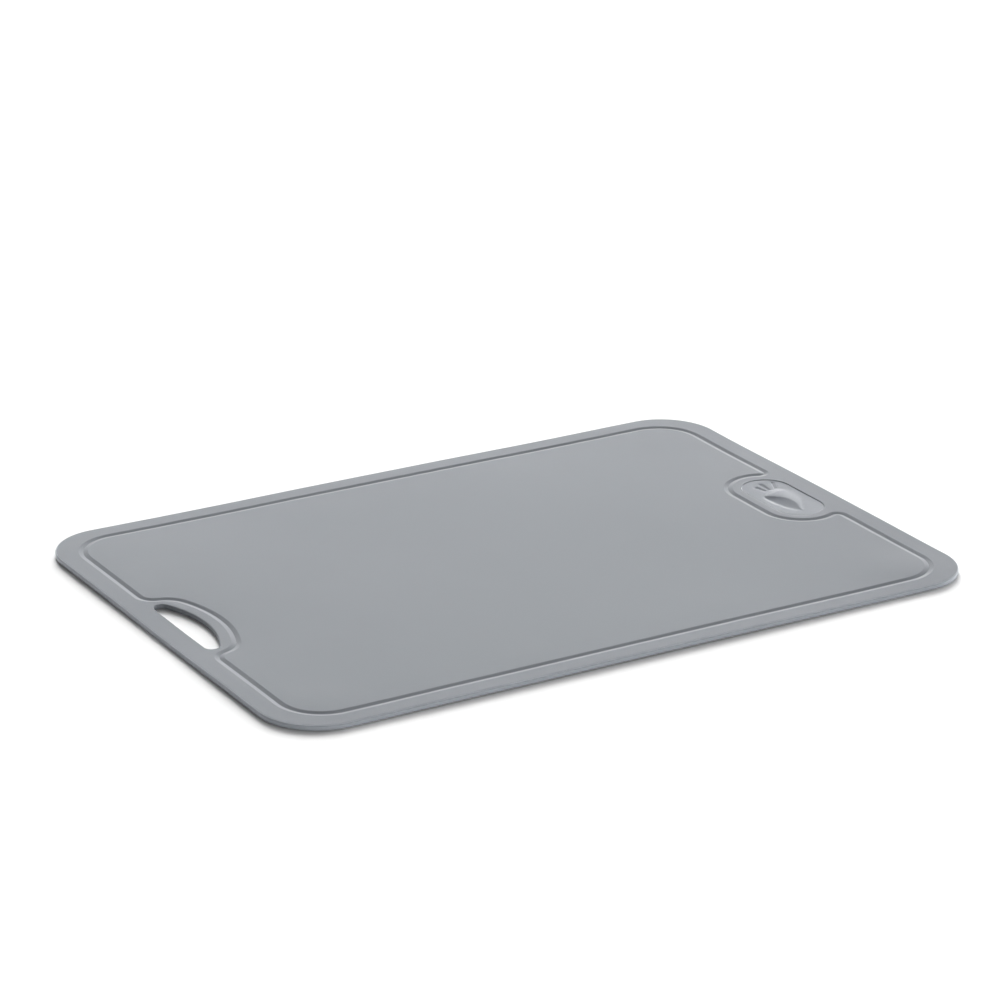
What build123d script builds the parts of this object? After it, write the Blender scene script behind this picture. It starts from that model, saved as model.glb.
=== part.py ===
from build123d import *
import os
from math import radians, tan

# Flexible cutting mat: a moulded sheet with a juice groove, a hand slot and a
# shallow dish that holds a raised carrot, on soft grip feet under the sheet.
# X runs along the mat, Y across it and Z up. The origin is the middle of the
# plane that the feet stand on. The hand slot is at the -X end, the dish at +X.
# Every length is in millimetres.

# Sheet
mat_length = 360.0
mat_width = 250.0
sheet_thickness = 2.2
corner_radius = 28.0
rim_round_share = 0.27          # radius of the upper rims, of the sheet's thickness
rim_bevel_share = 0.14          # bevel of the lower rims, likewise

# Juice groove: an arc-shaped channel with softened lips
groove_width = 5.0
groove_depth = 0.8
groove_end_inset = 11.8         # its centreline, from the mat's short edges
groove_side_inset = 10.2        # its centreline, from the mat's long edges
groove_corner_radius = 19.0
groove_lip_share = 0.5          # lip radius, of the groove's depth

# Hand slot: straight towards the edge, bowed towards the middle of the mat
slot_length = 56.8
slot_width = 13.4
slot_end_inset = 11.9           # its straight side, from the mat's short edge
slot_bow_share = 0.56           # how far the bow falls towards its ends, of the slot's width
slot_corner_share = 0.246       # corner radius, of the slot's width
slot_land = 7.3                 # from the slot to the groove's centreline round it
slot_flank_lean = 18.0          # degrees, lean of the groove's flanks beside the slot
slot_shoulder_share = 0.58      # groove radius at the shoulders, of the lobe's rise
slot_foot_share = 0.38          # groove radius at the feet, of the lobe's rise

# Dish: an oblong recess with a sloping rim, which the groove also goes round
dish_length = 51.0
dish_width = 25.0
dish_depth = 0.7
dish_rim_run = 2.0              # how far the sloping rim reaches in
dish_end_inset = 23.75          # its centre, from the mat's short edge
dish_land = 6.4                 # from the dish to the groove's centreline round it
dish_neck_share = 0.7           # groove radius at the necks, of the groove's width

# Carrot: raised from the dish floor, with one ridge from its shoulder to its tip
carrot_length = 28.0
carrot_width = 15.8
carrot_height = 0.65
carrot_top_share = 0.36         # its shoulder end, of its length ahead of the dish's centre
carrot_sink_share = 0.3         # how far its base lies under the dish floor, of its height

# Sections of the carrot from shoulder to tip: place along it, then left edge,
# ridge and right edge from its centreline, then the ridge's height
carrot_section_shares = (
    (0.00, -0.20, -0.04, 0.16, 0.10),
    (0.07, -0.38, -0.16, 0.36, 0.62),
    (0.25, -0.50, -0.08, 0.50, 0.95),
    (0.45, -0.48, 0.08, 0.48, 1.00),
    (0.65, -0.40, 0.10, 0.36, 0.88),
    (0.85, -0.26, 0.03, 0.16, 0.60),
    (1.00, -0.12, -0.07, -0.02, 0.15),
)

# Leaf strokes: three sloping-walled cuts that widen as they fan out from a point in the carrot
leaf_inner_width = 1.0
leaf_outer_width = 1.5
leaf_depth = 0.35
leaf_wall_slope = 40.0          # degrees, from upright
leaf_leans = (14.0, -3.0, -25.0)            # degrees, each stroke's lean from the Y axis
leaf_start_shares = (0.30, 0.30, 0.34)      # inner ends, of the carrot's length from the fan point
leaf_end_shares = (0.53, 0.61, 0.65)        # outer ends, likewise
leaf_fan_share = 0.25                       # the fan point, of the carrot's length below its top

# Grip feet: soft discs seated in shallow round pockets under the sheet
foot_diameter = 8.0
foot_stand = 0.6                # how far the feet stand out below the sheet
foot_seat_depth = 0.6
foot_seat_clearance = 0.05      # between a foot's side and its pocket's wall
foot_bevel_share = 0.5          # bevel at the foot's lower edge, of its stand
foot_end_inset = 30.0           # outermost feet, from the mat's short edges
foot_side_inset = 28.0          # front and back rows, from the mat's long edges
outer_row_feet = 4              # feet in the front row and in the back row

# One overrun for every cut
cut_overrun = 1.0

# Levels
underside_z = foot_stand
surface_z = underside_z + sheet_thickness
dish_floor_z = surface_z - dish_depth

# Places in plan
groove_end_x = mat_length / 2 - groove_end_inset
groove_side_y = mat_width / 2 - groove_side_inset
slot_side_x = slot_end_inset - mat_length / 2
slot_crown_x = slot_side_x + slot_width
slot_bow_rise = slot_bow_share * slot_width
slot_bow_radius = ((slot_length / 2) ** 2 + slot_bow_rise ** 2) / (2 * slot_bow_rise)
lobe_crown_x = slot_crown_x + slot_land
lobe_rise = lobe_crown_x + groove_end_x
dish_x = mat_length / 2 - dish_end_inset


def bowed_slot(side_x, crown_x, half_length, bow_radius, lean):
    """D-shaped plan: a bow over a straight side, with flanks that lean inwards."""
    rise = crown_x - side_x
    half_at_crown = half_length - rise * tan(radians(lean))
    flanks = make_face(Polyline(
        (side_x, half_length),
        (side_x, -half_length),
        (crown_x, -half_at_crown),
        (crown_x, half_at_crown),
        close=True,
    ))
    return flanks & Pos(crown_x - bow_radius, 0) * Circle(bow_radius)


def hand_slot_plan():
    """Outline of the hand slot, with all its corners rounded."""
    plan = bowed_slot(slot_side_x, slot_crown_x, slot_length / 2, slot_bow_radius, 0)
    return fillet(plan.vertices(), slot_corner_share * slot_width)


def dish_plan(margin):
    """Oblong plan of the dish, grown by a margin, its long side along Y."""
    return Pos(dish_x, 0) * Rot(0, 0, 90) * SlotOverall(dish_length + 2 * margin, dish_width + 2 * margin)


def slot_lobe():
    """Block over the land round the hand slot, as far as the groove's centreline."""
    half_length = slot_length / 2 + slot_land
    plan = bowed_slot(-groove_end_x, lobe_crown_x, half_length, slot_bow_radius + slot_land, slot_flank_lean)
    lobe = extrude(plan, groove_depth)
    shoulders = lobe.edges().filter_by(Axis.Z).sort_by(Axis.X)[-2:]
    return fillet(shoulders, slot_shoulder_share * lobe_rise)


def field_block():
    """Block over the cutting field inside the groove's centreline, less its two lobes."""
    plan = RectangleRounded(2 * groove_end_x, 2 * groove_side_y, groove_corner_radius)
    block = extrude(plan, groove_depth) - slot_lobe() - extrude(dish_plan(dish_land), groove_depth)
    feet = block.edges().filter_by(Axis.Z).group_by(Axis.X)[0].sort_by(Axis.Y)[1:-1]
    block = fillet(feet, slot_foot_share * lobe_rise)
    necks = block.edges().filter_by(Axis.Z).group_by(Axis.X)[-1].sort_by(Axis.Y)[1:-1]
    return fillet(necks, dish_neck_share * groove_width)


def juice_groove():
    """Cutter for the groove: an arc section swept round the field's block."""
    path = Pos(0, 0, surface_z) * field_block().faces().sort_by(Axis.Z)[0].outer_wire()
    along = path % 0
    across = Vector(0, 0, 1).cross(along)
    half = groove_width / 2
    section = make_face(Curve() + [
        ThreePointArc((-half, 0), (0, -groove_depth), (half, 0)),
        Polyline((half, 0), (half, cut_overrun), (-half, cut_overrun), (-half, 0)),
    ])
    start = Plane(origin=path @ 0, x_dir=across, z_dir=along)
    return sweep(start * section, path=path)


def dish_recess():
    """Cutter for the dish: its floor plan lofted out to its wider mouth."""
    floor = Pos(0, 0, dish_floor_z) * dish_plan(-dish_rim_run)
    mouth = Pos(0, 0, surface_z) * dish_plan(0)
    above = Pos(0, 0, surface_z) * extrude(dish_plan(0), cut_overrun)
    return loft([floor.face(), mouth.face()], ruled=True) + above


def carrot_body():
    """Raised carrot: three-cornered sections lofted from its shoulder to its tip."""
    top_y = carrot_top_share * carrot_length
    sink = carrot_sink_share * carrot_height
    base_z = dish_floor_z - sink
    sections = []
    for place, left, ridge, right, height in carrot_section_shares:
        y = top_y - place * carrot_length
        left_x = dish_x + left * carrot_width
        ridge_x = dish_x + ridge * carrot_width
        right_x = dish_x + right * carrot_width
        ridge_z = dish_floor_z + height * carrot_height
        outline = Polyline((left_x, y, base_z), (right_x, y, base_z), (ridge_x, y, ridge_z), close=True)
        sections.append(make_face(outline).face())
    return loft(sections)


def leaf_strokes():
    """Cutters for the three leaf strokes, fanned out above the carrot."""
    fan_y = (carrot_top_share - leaf_fan_share) * carrot_length
    strokes = []
    for lean, start, end in zip(leaf_leans, leaf_start_shares, leaf_end_shares):
        inner_y = start * carrot_length
        outer_y = end * carrot_length
        plan = make_face(Polyline(
            (-leaf_inner_width / 2, inner_y),
            (leaf_inner_width / 2, inner_y),
            (leaf_outer_width / 2, outer_y),
            (-leaf_outer_width / 2, outer_y),
            close=True,
        ))
        stroke = extrude(plan, -leaf_depth, taper=leaf_wall_slope)
        strokes.append(Pos(dish_x, fan_y, dish_floor_z) * Rot(0, 0, lean) * stroke)
    return strokes


def foot_places():
    """Name and plan position of every grip foot, in three staggered rows."""
    first_x = foot_end_inset - mat_length / 2
    pitch = -2 * first_x / (outer_row_feet - 1)
    row_y = mat_width / 2 - foot_side_inset
    rows = (("front", -row_y, 0), ("middle", 0, 1), ("back", row_y, 0))
    places = []
    for row, y, stagger in rows:
        for number in range(outer_row_feet - stagger):
            x = first_x + (number + stagger / 2) * pitch
            places.append((f"grip_foot_{row}_{number + 1}", x, y))
    return places


def grip_foot(x, y):
    """One soft foot: a disc with a bevelled lower edge, seated in its pocket."""
    foot = extrude(Pos(x, y) * Circle(foot_diameter / 2), foot_stand + foot_seat_depth)
    rim = foot.edges().sort_by(Axis.Z)[0]
    return chamfer(rim, foot_bevel_share * foot_stand)


def foot_pocket(x, y):
    """Cutter for a foot's pocket in the underside."""
    plan = Pos(x, y, underside_z) * Circle(foot_diameter / 2 + foot_seat_clearance)
    return extrude(plan, foot_seat_depth, both=True)


def sheet_blank():
    """The plain sheet with its hand slot, rims rounded above and bevelled below."""
    plan = RectangleRounded(mat_length, mat_width, corner_radius) - hand_slot_plan()
    sheet = Pos(0, 0, underside_z) * extrude(plan, sheet_thickness)
    top_rims = sheet.faces().sort_by(Axis.Z)[-1].edges()
    sheet = fillet(top_rims, rim_round_share * sheet_thickness)
    bottom_rims = sheet.faces().sort_by(Axis.Z)[0].edges()
    return chamfer(bottom_rims, rim_bevel_share * sheet_thickness)


def soften_lips(sheet):
    """Round the two lips where the groove meets the mat's surface."""
    border, field = sheet.faces().group_by(Axis.Z)[-1].sort_by(SortBy.AREA)
    outer_lip = border.inner_wires().sort_by(SortBy.LENGTH)[-1]
    inner_lip = field.outer_wire()
    return fillet(outer_lip.edges() + inner_lip.edges(), groove_lip_share * groove_depth)


def mat_body():
    """The moulded sheet with every feature of its two faces."""
    sheet = sheet_blank()
    sheet -= juice_groove()
    sheet = soften_lips(sheet)
    sheet -= dish_recess()
    sheet += carrot_body()
    sheet -= leaf_strokes()
    sheet -= [foot_pocket(x, y) for name, x, y in foot_places()]
    return sheet


os.makedirs("parts", exist_ok=True)
export_step(mat_body(), "parts/mat_body.step")
for name, x, y in foot_places():
    export_step(grip_foot(x, y), f"parts/{name}.step")
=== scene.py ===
import math

import bmesh
import bpy
import numpy as np
from mathutils import Matrix, Vector
from mathutils.geometry import delaunay_2d_cdt


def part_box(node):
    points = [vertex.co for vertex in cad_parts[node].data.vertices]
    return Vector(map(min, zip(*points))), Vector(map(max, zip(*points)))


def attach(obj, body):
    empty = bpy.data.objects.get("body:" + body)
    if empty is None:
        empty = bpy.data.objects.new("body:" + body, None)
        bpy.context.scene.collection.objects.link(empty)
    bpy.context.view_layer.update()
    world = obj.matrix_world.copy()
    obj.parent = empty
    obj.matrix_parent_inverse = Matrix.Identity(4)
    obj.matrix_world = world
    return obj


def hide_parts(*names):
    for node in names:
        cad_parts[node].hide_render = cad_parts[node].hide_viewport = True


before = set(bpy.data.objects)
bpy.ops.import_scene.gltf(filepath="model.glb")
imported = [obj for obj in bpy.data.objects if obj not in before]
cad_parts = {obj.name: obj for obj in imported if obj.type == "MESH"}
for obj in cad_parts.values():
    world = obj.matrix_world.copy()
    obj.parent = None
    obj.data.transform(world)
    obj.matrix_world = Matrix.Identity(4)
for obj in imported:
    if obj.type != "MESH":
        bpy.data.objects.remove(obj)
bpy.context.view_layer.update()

sheet_low, sheet_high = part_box("mat_body")

# The looks of a flexible cutting mat: one fine skin for its moulded sheet, and rubber on
# its grip feet. The mat's sizes are in millimetres, in the CAD frame: X along the mat,
# Y across it, Z up, the origin midway between the feet. Materials, camera and lights are
# in metres, and all angles here are in degrees.
MM = 0.001

# Sheet
half_length = sheet_high.x / MM
half_width = sheet_high.y / MM
surface = sheet_high.z / MM
underside = sheet_low.z / MM
corner_radius = 28.0
rim_round = 0.594
rim_bevel = 0.308

# Juice groove: how far its centreline lies in from the edges, its depth, the radii of its
# lips and its bottom, and the slope of its walls
groove_left_inset = 11.7
groove_right_inset = 12.3
groove_side_inset = 11.1
groove_corner = 20.5
groove_depth = 0.43
groove_lip = 0.8
groove_bottom = 0.6
groove_slope = 11.5

# Hand slot: how far its straight side lies in from the edge, its width, half its length,
# and the radii of its corners and its bow
slot_inset = 11.9
slot_width = 12.9
slot_half = 27.9
slot_corner = 3.3
slot_bow = 57.49

# The groove's lobe round the slot: the land between them, the lean of its flanks, and the
# radii of its shoulders and its feet
slot_land = 7.3
flank_lean = 18.0
lobe_shoulder = 12.06
lobe_foot = 7.90

# Dish: how far its centre lies in from the edge, its end radius and half its straight
# length, its depth, how far its rim slopes in, and the radius of the rim's two edges.
# The floor comes up by dish_lift at both ends.
dish_inset = 24.25
dish_radius = 12.5
dish_straight = 13.0
dish_depth = 0.35
dish_run = 0.35
dish_soft = 0.25
dish_lift = 0.12

# The groove's lobe round the dish: the land between them and the radius of its necks
dish_land = 6.4
neck_radius = 3.5

# Carrot: its body is raised, and left of its ridge a facet is scooped out of it
carrot_length = 28.0
carrot_width = 15.8
carrot_rise = 0.34
carrot_scoop = 0.6
carrot_top_y = 10.08
facet_curve = 1.5

# Sections of the carrot from shoulder to tip: place along it, left edge, ridge and right
# edge from its centreline, then the heights of its ridge and its body's crown, and the
# depth of its facet, each a share of the carrot's length, width, rise or scoop
carrot_section_shares = (
    (0.00, -0.02, 0.01, 0.14, 0.00, 0.10, 0.00),
    (0.05, -0.17, -0.15, 0.40, 0.00, 0.60, 0.00),
    (0.15, -0.42, -0.38, 0.475, 0.10, 0.90, 0.10),
    (0.28, -0.475, -0.17, 0.50, 0.75, 0.50, 0.80),
    (0.43, -0.466, 0.055, 0.48, 1.00, 0.24, 1.00),
    (0.60, -0.425, 0.095, 0.385, 1.00, 0.20, 1.00),
    (0.75, -0.37, 0.05, 0.22, 0.90, 0.20, 0.85),
    (0.88, -0.28, -0.04, 0.07, 0.55, 0.15, 0.45),
    (1.00, -0.11, -0.08, -0.04, 0.10, 0.05, 0.00),
)
carrot_least_share = 0.02

# Lip where the facet's deep edge meets the dish's floor: its width, then how far out and
# how far down each of its lines lies, as shares of that width and of the scoop
carrot_lip = 0.35
carrot_lip_shares = ((1.0, 0.0), (0.6, 0.12), (0.3, 0.6))

# Leaf strokes, fanned out from a point in the carrot: lean, start and end of each, then
# half their widths, their corner radius and their depth. The corners' middles are moved
# by leaf_corner_shift, which keeps the leaning sides at those widths. The bottom has
# shares of the width and the length, and lies leaf_aside from the middle, so one wall is
# narrow and one is wide.
fan_y = 3.08
leaf_strokes = ((14.0, 8.4, 14.84), (-3.0, 8.4, 17.08), (-25.0, 9.52, 18.2))
leaf_inner = 0.7
leaf_outer = 1.05
leaf_corner = 0.5
leaf_corner_shift = 0.02
leaf_depth = 0.35
leaf_aside = 0.5
leaf_narrow_share = 0.12
leaf_short_share = 0.88

# Grip feet: their places come from the CAD feet. The pockets are a little wider.
foot_places = []
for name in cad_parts:
    if name.startswith("grip_foot"):
        foot_low, foot_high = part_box(name)
        foot_middle = (foot_low + foot_high) / (2 * MM)
        foot_places.append((round(foot_middle.x, 1), round(foot_middle.y, 1)))
foot_places.sort(key=lambda place: (place[1], place[0]))
pocket_radius = 4.05
pocket_depth = 0.6

# Where the soft sheet hangs a little below its flat shape: place, reach, drop. It can't
# hang down within foot_hold of a foot's middle, and foot_fade is how soon it can beyond.
sags = (
    (-150.0, -120.0, 42.0, 0.30),
    (-60.0, -125.0, 30.0, 0.12),
    (125.0, -125.0, 48.0, 0.34),
    (180.0, -85.0, 34.0, 0.26),
    (180.0, 72.0, 36.0, 0.34),
    (-180.0, -8.0, 42.0, 0.52),
    (90.0, 125.0, 40.0, 0.25),
    (-100.0, 125.0, 46.0, 0.28),
    (-40.0, 40.0, 50.0, 0.16),
    (60.0, -45.0, 48.0, 0.16),
)
foot_hold = 6.0
foot_fade = 16.0

# Level strips that keep the shading flat beside a rounded edge, a stroke and a pocket,
# and how far a stroke's edge lies below the dish's floor
edge_strip = 0.12
stroke_strip = 0.1
pocket_strip = 0.35
stroke_edge = 0.02

# Fineness: steps round each rounded edge, steps along and across the carrot, the pitch
# of the points inside level regions, and how far these stay from a region's edges
rim_steps = 6
bevel_steps = 3
groove_steps = 4
dish_steps = 3
carrot_steps = 60
facet_steps = 8
body_steps = 11
border_pitch = 4.0
field_pitch = 5.0
underside_pitch = 6.0
pocket_pitch = 2.5
dish_pitch = 1.6
pitch_clear_share = 0.55

# Distances that count as none: between the ends of two arcs, between two points of a
# level region, and the rise of a level edge
same_place = 1e-6
same_point = 1e-7
least_rise = 1e-12

# The skin's materials, in the order of its material slots
# The rim's slot holds a material whose lighter colour is painted light
face_paint, dish_paint, rim_painted_light_paint = 0, 1, 2

# Colours. The outer rim's grey is lighter than the faces': painted light, for the light
# that the white floor throws on its wall. This painted light fades out into the faces'
# colour where the rim faces +Y, towards the key light: from and to these values of its
# normal's Y.
mat_grey = (0.158, 0.170, 0.188)
# The dish's grey is lighter than the mat's: painted sheen, for the gloss of its smoother finish.
dish_painted_sheen_grey = (0.200, 0.215, 0.238)
rim_painted_light_grey = (0.308, 0.330, 0.362)
rubber_grey = (0.045, 0.047, 0.05)
floor_white = (0.9, 0.9, 0.9)
painted_light_fade_start = 0.45
painted_light_fade_end = 0.9

# Texture sizes, the part of a noise's range that is spread over its effect, and how far
# the roughness varies either way
grain_size = 0.0004
mottle_size = 0.004
cloud_size = 0.035
noise_low = 0.3
noise_high = 0.7
roughness_swing = 0.01

# Camera, solved from the mat's corners in the photograph. Its lens is in millimetres.
camera_place = (-0.84247, -1.37457, 0.65264)
camera_yaw = -31.392
camera_pitch = 21.093
camera_roll = 0.682
camera_lens = 135.588
camera_sensor = 36.0
camera_near = 0.05
camera_far = 50.0

# Floor: how far it reaches each way
floor_reach = 6.0

# Backdrop: it is brightest low down, up to the elevation backdrop_start, fades to a dim
# ceiling at backdrop_top, and is brighter towards +X by the share backdrop_lean
backdrop_level = 1.55
backdrop_lean = 0.45
backdrop_start = 9.0
backdrop_top = 28.0
ceiling_level = 0.09

# Softboxes, which give no reflections: name, azimuth from +X towards +Y, elevation, and
# level on the floor
softbox_distance = 12.0
softbox_size = 5.6
softboxes = (
    ("key_light", 62.0, 18.0, 0.80),
    ("top_light", 56.0, 42.0, 0.24),
    ("side_light", 0.0, 6.0, 0.10),
    ("fill_light", -75.0, 6.0, 0.036),
)

# Places in plan
groove_left_x = groove_left_inset - half_length
groove_right_x = half_length - groove_right_inset
groove_side_y = half_width - groove_side_inset
slot_side_x = slot_inset - half_length
slot_crown_x = slot_side_x + slot_width
slot_bow_x = slot_crown_x - slot_bow
dish_x = half_length - dish_inset
dish_floor = surface - dish_depth


def outline(arcs, chord=1.0, turn=7.0, span=4.0):
    """Closed plan outline: arcs (centre x, y, radius, start, end in degrees) joined by
    straight runs. Gives its points and the unit normals to the right of the way round."""
    points, normals = [], []
    for x, y, radius, start, end in arcs:
        length = math.radians(abs(end - start)) * radius
        steps = max(2, math.ceil(length / chord), math.ceil(abs(end - start) / turn))
        angles = np.radians(np.linspace(start, end, steps + 1))
        ray = np.column_stack([np.cos(angles), np.sin(angles)])
        points.append(np.array([x, y]) + radius * ray)
        normals.append(ray if end > start else -ray)
    out_points, out_normals = [], []
    for k, (run, normal) in enumerate(zip(points, normals)):
        ahead = points[(k + 1) % len(points)][0]
        gap = np.linalg.norm(ahead - run[-1])
        out_points.append(run)
        out_normals.append(normal)
        if gap < same_place:
            out_points[-1] = run[:-1]
            out_normals[-1] = normal[:-1]
        elif gap > span:
            steps = math.ceil(gap / span)
            share = np.arange(1, steps)[:, None] / steps
            along = (ahead - run[-1]) / gap
            out_points.append(run[-1] + share * (ahead - run[-1]))
            out_normals.append(np.tile([along[1], -along[0]], (steps - 1, 1)))
    return np.vstack(out_points), np.vstack(out_normals)


def box_outline(half_x, half_y, radius, x=0.0):
    """A rectangle with round corners, counter-clockwise seen from above."""
    right, back = half_x - radius, half_y - radius
    return outline((
        (x - right, -back, radius, 180, 270),
        (x + right, -back, radius, 270, 360),
        (x + right, back, radius, 0, 90),
        (x - right, back, radius, 90, 180),
    ))


def slot_outline():
    """The hand slot: straight at -X, bowed at +X, all corners round."""
    y = slot_half - slot_corner
    x = slot_bow_x + math.sqrt((slot_bow - slot_corner) ** 2 - y ** 2)
    swing = math.degrees(math.atan2(y, x - slot_bow_x))
    left = slot_side_x + slot_corner
    return outline((
        (left, -y, slot_corner, 180, 270),
        (x, -y, slot_corner, 270, 360 - swing),
        (slot_bow_x, 0, slot_bow, -swing, swing),
        (x, y, slot_corner, swing, 90),
        (left, y, slot_corner, 90, 180),
    ))


def slot_lobe_arcs():
    """Arcs of the groove's centreline round the hand slot, from its upper foot down."""
    bow = slot_bow + slot_land
    lean = math.radians(flank_lean)
    along = np.array([math.cos(lean), -math.sin(lean)])
    inward = np.array([-math.sin(lean), -math.cos(lean)])
    start = np.array([groove_left_x, slot_half + slot_land])
    # Foot: rounds the turn from the straight side into the flank
    reach = lobe_foot * (1 + inward[0]) / along[0]
    foot = start + reach * along - lobe_foot * inward
    # Shoulder: rounds the turn from the flank into the bow
    base = start + lobe_shoulder * inward - np.array([slot_bow_x, 0])
    half = base @ along
    reach = -half + math.sqrt(half ** 2 - base @ base + (bow - lobe_shoulder) ** 2)
    shoulder = base + reach * along + np.array([slot_bow_x, 0])
    swing = math.degrees(math.atan2(shoulder[1], shoulder[0] - slot_bow_x))
    top = 90 - flank_lean
    return (
        (foot[0], foot[1], lobe_foot, 180, 180 + top),
        (shoulder[0], shoulder[1], lobe_shoulder, top, swing),
        (slot_bow_x, 0, bow, swing, -swing),
        (shoulder[0], -shoulder[1], lobe_shoulder, -swing, -top),
        (foot[0], -foot[1], lobe_foot, 180 - top, 180),
    )


def dish_lobe_arcs():
    """Arcs of the groove's centreline round the dish, from its lower neck up."""
    lobe = dish_radius + dish_land
    x = groove_right_x - neck_radius
    rise = math.sqrt((lobe + neck_radius) ** 2 - (x - dish_x) ** 2)
    y = dish_straight + rise
    swing = math.degrees(math.atan2(rise, dish_x - x))
    return (
        (x, -y, neck_radius, 0, swing),
        (dish_x, -dish_straight, lobe, swing - 180, -180),
        (dish_x, dish_straight, lobe, 180, 180 - swing),
        (x, y, neck_radius, -swing, 0),
    )


def groove_outline():
    """The groove's centreline, normals pointing to the mat's border."""
    left, right = groove_left_x + groove_corner, groove_right_x - groove_corner
    back = groove_side_y - groove_corner
    return outline((
        (left, -back, groove_corner, 180, 270),
        (right, -back, groove_corner, 270, 360),
        *dish_lobe_arcs(),
        (right, back, groove_corner, 0, 90),
        (left, back, groove_corner, 90, 180),
        *slot_lobe_arcs(),
    ))


def sag_at(plan):
    """How far the resting sheet lies below its flat shape: nothing at the feet."""
    drop = np.zeros(len(plan))
    for x, y, reach, depth in sags:
        drop += depth * np.exp(-((plan[:, 0] - x) ** 2 + (plan[:, 1] - y) ** 2) / reach ** 2)
    for x, y in foot_places:
        near = (plan[:, 0] - x) ** 2 + (plan[:, 1] - y) ** 2
        drop *= 1 - np.exp(-np.maximum(near - foot_hold ** 2, 0.0) / foot_fade ** 2)
    return drop


def inside(loops, plan):
    """Whether plan points lie inside an odd number of closed loops."""
    odd = np.zeros(len(plan), bool)
    x, y = plan[:, :1], plan[:, 1:]
    for loop in loops:
        ahead = np.roll(loop, -1, axis=0)
        rise = ahead[:, 1] - loop[:, 1]
        rise = np.where(np.abs(rise) < least_rise, least_rise, rise)
        spans = (loop[:, 1] > y) != (ahead[:, 1] > y)
        left = x < loop[:, 0] + (ahead[:, 0] - loop[:, 0]) * (y - loop[:, 1]) / rise
        odd ^= (spans & left).sum(axis=1) % 2 == 1
    return odd


class Skin:
    """A mesh being built: points in millimetres, faces, and each face's material."""

    def __init__(self):
        self.points = np.zeros((0, 3))
        self.faces = []
        self.paints = []

    def add(self, plan, height):
        """Points at plan places and a height, or a height each. Gives their numbers."""
        first = len(self.points)
        rows = np.column_stack([plan, np.broadcast_to(height, len(plan))])
        self.points = np.vstack([self.points, rows])
        return np.arange(first, first + len(plan))

    def band(self, a, b, paint=face_paint):
        """Quads between two closed rings of as many points."""
        quads = np.column_stack([a, np.roll(a, -1), np.roll(b, -1), b])
        self.faces += quads.tolist()
        self.paints += [paint] * len(quads)

    def bands(self, line, profile, paint=face_paint):
        """Rings along an outline, one for each (offset, height) of a profile. paint is
        one number or one for each band."""
        points, normals = line
        rings = [self.add(points + offset * normals, height) for offset, height in profile]
        paints = np.broadcast_to(paint, len(rings) - 1).tolist()
        for a, b, band_paint in zip(rings, rings[1:], paints):
            self.band(a, b, band_paint)
        return rings

    def cap(self, ring, paint=face_paint):
        """One face over a closed ring."""
        self.faces.append(ring.tolist())
        self.paints.append(paint)

    def fill(self, rings, height, pitch, paint=face_paint):
        """A level region between rings, with a grid of points inside it."""
        loops = [self.points[ring][:, :2] for ring in rings]
        corners = np.vstack(loops)
        low, high = corners.min(axis=0), corners.max(axis=0)
        xs = np.arange(low[0] + pitch / 2, high[0], pitch)
        ys = np.arange(low[1] + pitch / 2, high[1], pitch)
        grid = np.stack(np.meshgrid(xs, ys), axis=-1).reshape(-1, 2)
        grid = grid[inside(loops, grid)]
        if len(grid):
            far = np.array([np.min(np.sum((corners - p) ** 2, axis=1)) for p in grid])
            grid = grid[far > (pitch_clear_share * pitch) ** 2]
        numbers = np.concatenate([*rings, self.add(grid, height)])
        edges, first = [], 0
        for ring in rings:
            steps = np.arange(len(ring))
            edges += np.column_stack([first + steps, first + np.roll(steps, -1)]).tolist()
            first += len(ring)
        plan = np.vstack([corners, grid])
        places, _, faces, sources, _, _ = delaunay_2d_cdt(
            [Vector(p) for p in plan], edges, [], 0, same_point, True)
        places = np.array([tuple(p) for p in places])
        faces = np.array(faces)
        kept = faces[inside(loops, places[faces].mean(axis=1))]
        source = np.array([s[0] for s in sources])
        self.faces += numbers[source[kept]].tolist()
        self.paints += [paint] * len(kept)


def arc_profile(x, z, radius, start, end, steps):
    """Points of a profile on an arc, angles in degrees from +offset towards +Z."""
    angles = np.radians(np.linspace(start, end, steps + 1))
    return [(x + radius * math.cos(a), z + radius * math.sin(a)) for a in angles]


def rim_profile(side):
    """From the surface over the round upper rim, down the wall and under the bevel.
    side is 1 where the sheet lies inside the outline, -1 where it lies outside."""
    upper = arc_profile(-rim_round, surface - rim_round, rim_round, 90, 0, rim_steps)
    lower = arc_profile(-rim_bevel, underside + rim_bevel, rim_bevel, 0, -90, bevel_steps)
    points = [
        (-rim_round - edge_strip, surface),
        *upper,
        (0, (surface + underside) / 2),
        *lower,
        (-rim_bevel - edge_strip, underside),
    ]
    return [(side * offset, height) for offset, height in points]


def groove_profile():
    """Across the groove, from the border's lip to the field's lip: round lips, sloping
    walls and a round bottom."""
    slope = math.radians(groove_slope)
    rounds = groove_lip + groove_bottom
    wall = (groove_depth - rounds * (1 - math.cos(slope))) / math.sin(slope)
    half = rounds * math.sin(slope) + wall * math.cos(slope)
    lip = arc_profile(half, surface - groove_lip, groove_lip, 90, 90 + groove_slope, groove_steps)
    centre = surface - groove_depth + groove_bottom
    bottom = arc_profile(0, centre, groove_bottom, groove_slope - 90, -90, groove_steps)
    right = [(half + edge_strip, surface), *lip, *bottom]
    left = [(-offset, height) for offset, height in right[-2::-1]]
    return right + left


def dish_profile():
    """From the surface down the dish's sloping rim to its floor, both edges soft."""
    slope = math.degrees(math.atan2(dish_depth, dish_run))
    back = dish_soft * math.tan(math.radians(slope / 2))
    upper = arc_profile(back, surface - dish_soft, dish_soft, 90, 90 + slope, dish_steps)
    lower = arc_profile(
        -dish_run - back, dish_floor + dish_soft, dish_soft, slope - 90, -90, dish_steps)
    outer = (back + edge_strip, surface)
    inner = (-dish_run - back - edge_strip, dish_floor)
    return [outer, *upper, *lower, inner]


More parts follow.
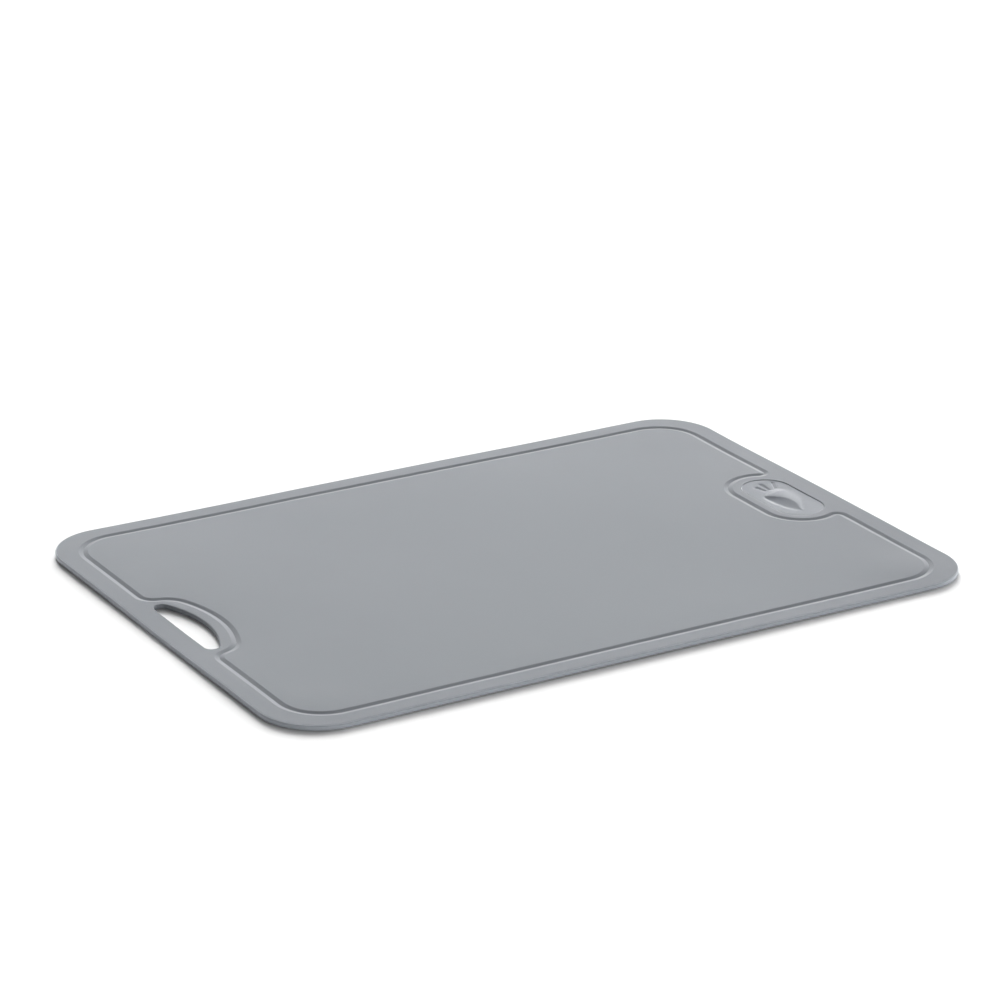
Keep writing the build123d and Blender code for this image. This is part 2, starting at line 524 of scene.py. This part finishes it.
def spline(places, values, at):
    """Natural cubic spline through a few values."""
    places, values = np.array(places, float), np.array(values, float)
    count = len(places)
    step = np.diff(places)
    rate = np.diff(values) / step
    system, right = np.eye(count), np.zeros(count)
    for k in range(1, count - 1):
        system[k, k - 1:k + 2] = step[k - 1], 2 * (step[k - 1] + step[k]), step[k]
        right[k] = 6 * (rate[k] - rate[k - 1])
    bend = np.linalg.solve(system, right)
    k = np.clip(np.searchsorted(places, at) - 1, 0, count - 2)
    a, b = places[k + 1] - at, at - places[k]
    cubic = (bend[k] * a ** 3 + bend[k + 1] * b ** 3) / (6 * step[k])
    before = (values[k] / step[k] - bend[k] * step[k] / 6) * a
    after = (values[k + 1] / step[k] - bend[k + 1] * step[k] / 6) * b
    return cubic + before + after


def add_carrot(skin):
    """The carrot on the dish's floor. Gives the ring where it meets the floor."""
    table = np.array(carrot_section_shares)
    places = np.concatenate([[0.0], np.linspace(0, 1, carrot_steps + 1), [1.0]])
    left, ridge, right, rise, crown, scoop = (
        spline(table[:, 0], table[:, k], places) for k in range(1, table.shape[1]))
    ridge = np.maximum(ridge, left + carrot_least_share)
    right = np.maximum(right, ridge + carrot_least_share)
    rise, crown = (np.clip(v, 0.0, 1.0) * carrot_rise for v in (rise, crown))
    scoop = np.clip(scoop, 0.0, 1.0) * carrot_scoop
    for heights in (rise, crown, scoop):
        heights[[0, -1]] = 0.0
    y = carrot_top_y - places * carrot_length
    y[0] += edge_strip
    y[-1] -= edge_strip
    lip_out, lip_down = np.array(carrot_lip_shares).T
    facet = np.linspace(1, 0, facet_steps + 1)[:-1]
    body = np.linspace(0, 1, body_steps + 1)
    rows = []
    for k in range(len(places)):
        edge, crest, far = (dish_x + v[k] * carrot_width for v in (left, ridge, right))
        x = np.concatenate([
            edge - carrot_lip * lip_out,
            crest + facet * (edge - crest),
            crest + body * (far - crest),
        ])
        z = dish_floor + np.concatenate([
            -scoop[k] * lip_down,
            rise[k] - (rise[k] + scoop[k]) * (1 - (1 - facet) ** facet_curve),
            rise[k] * (1 - body) + 4 * crown[k] * body * (1 - body),
        ])
        rows.append(skin.add(np.column_stack([x, np.full(len(x), y[k])]), z))
    for a, b in zip(rows, rows[1:]):
        quads = np.column_stack([a[:-1], a[1:], b[1:], b[:-1]])
        skin.faces += quads.tolist()
        skin.paints += [dish_paint] * len(quads)
    middle = rows[1:-1]
    down = np.array([row[0] for row in middle])
    up = np.array([row[-1] for row in middle])[::-1]
    return np.concatenate([rows[0][::-1], down, rows[-1], up])


def add_stroke(skin, lean, start, end):
    """One leaf stroke: a groove with a narrow left wall and a wide right wall, wider at
    its outer end. Gives the ring where it meets the dish's floor."""
    slope = math.degrees(math.atan2(leaf_outer - leaf_inner, end - start))
    lower, upper = start + leaf_corner, end - leaf_corner
    narrow = leaf_inner - leaf_corner + leaf_corner_shift
    wide = leaf_outer - leaf_corner - leaf_corner_shift
    points, normals = outline((
        (-narrow, lower, leaf_corner, 180 + slope, 270),
        (narrow, lower, leaf_corner, 270, 360 - slope),
        (wide, upper, leaf_corner, -slope, 90),
        (-wide, upper, leaf_corner, 90, 180 + slope),
    ), chord=0.25, turn=15.0, span=0.8)
    middle = (start + end) / 2
    lowest = np.column_stack([
        points[:, 0] * leaf_narrow_share - leaf_aside,
        middle + (points[:, 1] - middle) * leaf_short_share,
    ])
    c, s = math.cos(math.radians(lean)), math.sin(math.radians(lean))
    turn = np.array([[c, s], [-s, c]])
    rings = []
    for plan, depth in (
        (points + stroke_strip * normals, 0.0),
        (points, stroke_edge),
        (lowest, leaf_depth),
    ):
        rings.append(skin.add(plan @ turn + np.array([dish_x, fan_y]), dish_floor - depth))
    for a, b in zip(rings, rings[1:]):
        skin.band(a, b, dish_paint)
    skin.cap(rings[-1], dish_paint)
    return rings[0]


def add_dish(skin):
    """The dish with its carrot and leaf strokes. Gives its outer ring."""
    half_dish = dish_straight + dish_radius
    rim = skin.bands(
        box_outline(dish_radius, half_dish, dish_radius, dish_x), dish_profile(), dish_paint)
    holes = [add_carrot(skin)]
    holes += [add_stroke(skin, *stroke) for stroke in leaf_strokes]
    skin.fill([rim[-1], *holes], dish_floor, dish_pitch, dish_paint)
    share = np.clip((surface - skin.points[:, 2]) / dish_depth, 0, 1)
    end = skin.points[:, 1] / half_dish
    skin.points[:, 2] += dish_lift * share * end ** 2
    return rim[0]


def add_pocket(skin, x, y):
    """A foot's pocket in the underside. Gives its outer ring."""
    circle = outline(((x, y, pocket_radius, 0, 360),), turn=7.5)
    roof = underside + pocket_depth
    rings = skin.bands(circle, ((pocket_strip, underside), (0.0, underside), (0.0, roof)))
    skin.fill([rings[-1]], roof, pocket_pitch)
    return rings[0]


def mat_skin():
    """The moulded mat as one closed skin."""
    skin = Skin()
    dish = add_dish(skin)
    profile = rim_profile(1)
    # The first and last of the rim's bands are strips of the two faces
    # The bands between them take the rim's material, whose lighter colour is painted light
    paints = [face_paint] + [rim_painted_light_paint] * (len(profile) - 3) + [face_paint]
    rim = skin.bands(box_outline(half_length, half_width, corner_radius), profile, paints)
    slot = skin.bands(slot_outline(), rim_profile(-1))
    groove = skin.bands(groove_outline(), groove_profile())
    skin.fill([rim[0], slot[0], groove[0], dish], surface, border_pitch)
    skin.fill([groove[-1]], surface, field_pitch)
    pockets = [add_pocket(skin, x, y) for x, y in foot_places]
    skin.fill([rim[-1], slot[-1], *pockets], underside, underside_pitch)
    skin.points[:, 2] -= sag_at(skin.points[:, :2])
    return skin


def mesh_object(name, skin, materials):
    """A smooth-shaded object from a skin, its faces turned outwards."""
    mesh = bpy.data.meshes.new(name)
    mesh.from_pydata((skin.points * MM).tolist(), [], skin.faces)
    for material in materials:
        mesh.materials.append(material)
    mesh.polygons.foreach_set("material_index", np.array(skin.paints, np.int32))
    mesh.polygons.foreach_set("use_smooth", np.ones(len(skin.faces), bool))
    work = bmesh.new()
    work.from_mesh(mesh)
    bmesh.ops.recalc_face_normals(work, faces=work.faces[:])
    open_edges = sum(not edge.is_manifold for edge in work.edges)
    work.to_mesh(mesh)
    work.free()
    print(name, len(mesh.vertices), "points,", len(mesh.polygons), "faces,", open_edges, "open edges")
    obj = bpy.data.objects.new(name, mesh)
    bpy.context.scene.collection.objects.link(obj)
    return obj


def node(tree, kind, **values):
    """A shader node with its properties and input values set."""
    made = tree.nodes.new(kind)
    for name, value in values.items():
        if name in made.inputs:
            made.inputs[name].default_value = value
        else:
            setattr(made, name, value)
    return made


def noise(tree, size, detail=2.0):
    """Noise whose features are about size metres across, in object space."""
    place = tree.nodes.get("place") or tree.nodes.new("ShaderNodeTexCoord")
    place.name = "place"
    made = node(tree, "ShaderNodeTexNoise", Scale=1 / size, Detail=detail, Roughness=0.5)
    tree.links.new(place.outputs["Object"], made.inputs["Vector"])
    return made


def spread(tree, source, low, high):
    """Maps a noise's middle range onto low to high."""
    made = node(tree, "ShaderNodeMapRange", **{
        "From Min": noise_low,
        "From Max": noise_high,
        "To Min": low,
        "To Max": high,
    })
    tree.links.new(source.outputs["Fac"], made.inputs["Value"])
    return made


def fade_painted_light_at_back(tree, tint, back):
    """Takes a tint's painted light out where the surface faces +Y: there it turns into the back
    colour.
    """
    split = node(tree, "ShaderNodeSeparateXYZ")
    tree.links.new(tree.nodes["place"].outputs["Normal"], split.inputs["Vector"])
    fade = node(tree, "ShaderNodeMapRange", **{"From Min": painted_light_fade_start, "From Max": painted_light_fade_end})
    tree.links.new(split.outputs["Y"], fade.inputs["Value"])
    made = node(tree, "ShaderNodeMix", data_type="RGBA")
    made.inputs["B"].default_value = (*back, 1)
    tree.links.new(tint, made.inputs["A"])
    tree.links.new(fade.outputs["Result"], made.inputs["Factor"])
    return made.outputs["Result"]


def plastic(name, colour, roughness, grain, vary=0.015, specular=0.5, back=None):
    """Moulded plastic: fine grain of a height in metres, faint mottling of colour by the
    share vary, uneven roughness. Where back is given, the colour is painted light that is
    taken out where the surface faces +Y: what faces +Y has the back colour."""
    material = bpy.data.materials.new(name)
    material.use_nodes = True
    tree = material.node_tree
    shader = tree.nodes["Principled BSDF"]
    shader.inputs["Specular IOR Level"].default_value = specular
    mottle = noise(tree, mottle_size, detail=3.0)
    cloud = noise(tree, cloud_size)
    blend = node(tree, "ShaderNodeMix", data_type="RGBA")
    blend.inputs["A"].default_value = (*[c * (1 - vary) for c in colour], 1)
    blend.inputs["B"].default_value = (*[c * (1 + vary) for c in colour], 1)
    both = node(tree, "ShaderNodeMath", operation="ADD")
    tree.links.new(spread(tree, mottle, 0.0, 0.5).outputs["Result"], both.inputs[0])
    tree.links.new(spread(tree, cloud, 0.0, 0.5).outputs["Result"], both.inputs[1])
    tree.links.new(both.outputs["Value"], blend.inputs["Factor"])
    tint = blend.outputs["Result"]
    if back:
        tint = fade_painted_light_at_back(tree, tint, back)
    tree.links.new(tint, shader.inputs["Base Color"])
    rough = spread(tree, mottle, roughness - roughness_swing, roughness + roughness_swing)
    tree.links.new(rough.outputs["Result"], shader.inputs["Roughness"])
    fine = noise(tree, grain_size)
    bump = node(tree, "ShaderNodeBump", Strength=1.0, Distance=grain)
    tree.links.new(fine.outputs["Fac"], bump.inputs["Height"])
    tree.links.new(bump.outputs["Normal"], shader.inputs["Normal"])
    return material


def place_camera():
    """The photograph's camera."""
    yaw, pitch, roll = (math.radians(v) for v in (camera_yaw, camera_pitch, camera_roll))
    level = math.cos(pitch)
    ahead = -Vector((math.sin(yaw) * level, -math.cos(yaw) * level, math.sin(pitch)))
    right = ahead.cross(Vector((0, 0, 1))).normalized()
    up = right.cross(ahead)
    across = math.cos(roll) * right + math.sin(roll) * up
    above = -math.sin(roll) * right + math.cos(roll) * up
    turn = Matrix((across, above, -ahead)).transposed().to_4x4()
    data = bpy.data.cameras.new("photo_camera")
    data.lens = camera_lens
    data.sensor_width = camera_sensor
    data.clip_start = camera_near
    data.clip_end = camera_far
    camera = bpy.data.objects.new("photo_camera", data)
    camera.matrix_world = Matrix.Translation(camera_place) @ turn
    bpy.context.scene.collection.objects.link(camera)
    bpy.context.scene.camera = camera


def soft_light(name, azimuth, elevation, level):
    """A square softbox aimed at the mat; azimuth is measured from +X towards +Y.
    Its level is the light that it gives the floor, where 1 makes a white floor white."""
    a, e = math.radians(azimuth), math.radians(elevation)
    ray = Vector((math.cos(a) * math.cos(e), math.sin(a) * math.cos(e), math.sin(e)))
    data = bpy.data.lights.new(name, "AREA")
    data.size = softbox_size
    data.energy = level * (math.pi * softbox_distance) ** 2 / math.sin(e)
    light = bpy.data.objects.new(name, data)
    light.location = softbox_distance * ray
    light.rotation_mode = "QUATERNION"
    light.rotation_quaternion = (-ray).to_track_quat("-Z", "Y")
    light.visible_glossy = False
    bpy.context.scene.collection.objects.link(light)


def white_floor():
    """A wide white floor that the feet stand on."""
    mesh = bpy.data.meshes.new("studio_floor")
    corners = [(-1, -1), (1, -1), (1, 1), (-1, 1)]
    mesh.from_pydata([(x * floor_reach, y * floor_reach, 0) for x, y in corners], [], [(0, 1, 2, 3)])
    material = bpy.data.materials.new("floor_white")
    material.use_nodes = True
    shader = material.node_tree.nodes["Principled BSDF"]
    shader.inputs["Base Color"].default_value = (*floor_white, 1)
    shader.inputs["Roughness"].default_value = 0.7
    mesh.materials.append(material)
    floor = bpy.data.objects.new("studio_floor", mesh)
    bpy.context.scene.collection.objects.link(floor)


def backdrop():
    """The world: a backdrop that is bright low down all round, and a dim ceiling. They
    light the mat and show in its gloss. To the camera they are plain white."""
    world = bpy.data.worlds.new("backdrop")
    world.use_nodes = True
    tree = world.node_tree
    place = node(tree, "ShaderNodeTexCoord")
    split = node(tree, "ShaderNodeSeparateXYZ")
    tree.links.new(place.outputs["Generated"], split.inputs["Vector"])
    fade = node(tree, "ShaderNodeMapRange", **{
        "From Min": math.sin(math.radians(backdrop_start)),
        "From Max": math.sin(math.radians(backdrop_top)),
        "To Min": backdrop_level,
        "To Max": ceiling_level,
    })
    tree.links.new(split.outputs["Z"], fade.inputs["Value"])
    lean = node(tree, "ShaderNodeMath", operation="MULTIPLY_ADD")
    tree.links.new(split.outputs["X"], lean.inputs[0])
    lean.inputs[1].default_value = backdrop_lean
    lean.inputs[2].default_value = 1.0
    level = node(tree, "ShaderNodeMath", operation="MULTIPLY")
    tree.links.new(fade.outputs["Result"], level.inputs[0])
    tree.links.new(lean.outputs["Value"], level.inputs[1])
    path = node(tree, "ShaderNodeLightPath")
    seen = node(tree, "ShaderNodeMath", operation="MAXIMUM")
    tree.links.new(level.outputs["Value"], seen.inputs[0])
    tree.links.new(path.outputs["Is Camera Ray"], seen.inputs[1])
    tree.links.new(seen.outputs["Value"], tree.nodes["Background"].inputs["Strength"])
    tree.nodes["Background"].inputs["Color"].default_value = (1.0, 1.0, 1.0, 1)
    bpy.context.scene.world = world


def studio():
    """The backdrop and the softboxes, the strongest from behind and to the right."""
    bpy.context.scene.view_settings.view_transform = "Standard"
    backdrop()
    for softbox in softboxes:
        soft_light(*softbox)


mat_plastic = plastic("mat_plastic", mat_grey, roughness=0.3, grain=0.00001)
# The dish's lighter grey is painted sheen. Its lower roughness and higher specular are its real
# gloss.
dish_plastic = plastic("dish_plastic", dish_painted_sheen_grey, roughness=0.2, grain=0.000005, specular=0.85)
# The rim's colour is painted light: lighter than the mat's own grey, and faded back to it where the
# rim faces +Y.
rim_painted_light_plastic = plastic("rim_painted_light_plastic", rim_painted_light_grey, roughness=0.3, grain=0.00001, back=mat_grey)
foot_rubber = plastic(
    "foot_rubber", rubber_grey, roughness=0.7, grain=0.00003, vary=0.08, specular=0.35)

cutting_mat = mesh_object("cutting_mat", mat_skin(), [mat_plastic, dish_plastic, rim_painted_light_plastic])
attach(cutting_mat, "root")
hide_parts("mat_body")
for name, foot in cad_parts.items():
    if name.startswith("grip_foot"):
        foot.data.materials.clear()
        foot.data.materials.append(foot_rubber)

place_camera()
white_floor()
studio()
